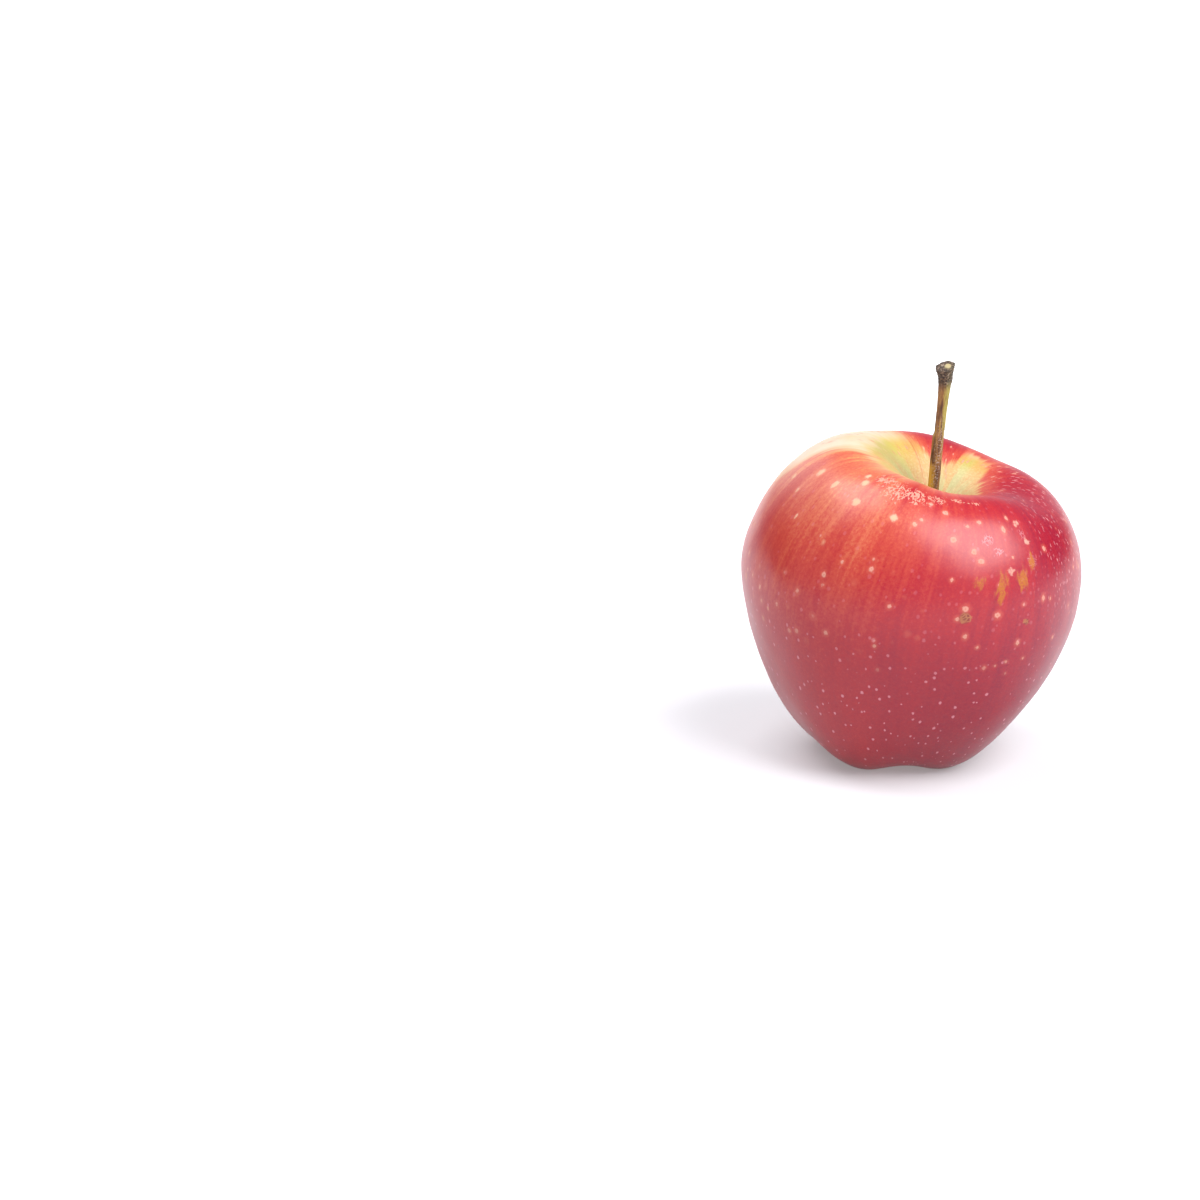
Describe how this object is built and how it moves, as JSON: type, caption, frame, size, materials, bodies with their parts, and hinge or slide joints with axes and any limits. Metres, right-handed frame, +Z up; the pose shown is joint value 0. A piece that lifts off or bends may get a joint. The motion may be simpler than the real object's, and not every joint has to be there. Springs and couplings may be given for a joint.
{
  "type": "whole red apple with stem",
  "caption": "Whole fresh red apple, yellow round the stem hollow, with a slim woody stem and a dried calyx in the basin underneath; it rests upright on its base ribs.",
  "frame": {"origin": "on the plane that the apple rests on, under the middle of its bounding box", "axes": "+Z up, from the resting plane towards the stem; the shoulders lean towards +X and -Y, and -Y is the side that faces the viewer"},
  "size_m": [0.0762, 0.0752, 0.0909],
  "materials": {
    "apple_skin": "waxy satin gloss",
    "stem_bark": "dry bark",
    "dried_sepal": "dry and woolly"
  },
  "bodies": {
    "root": {"fruit": "apple_skin", "stem": "stem_bark", "calyx": "dried_sepal"}
  },
  "joints": []
}
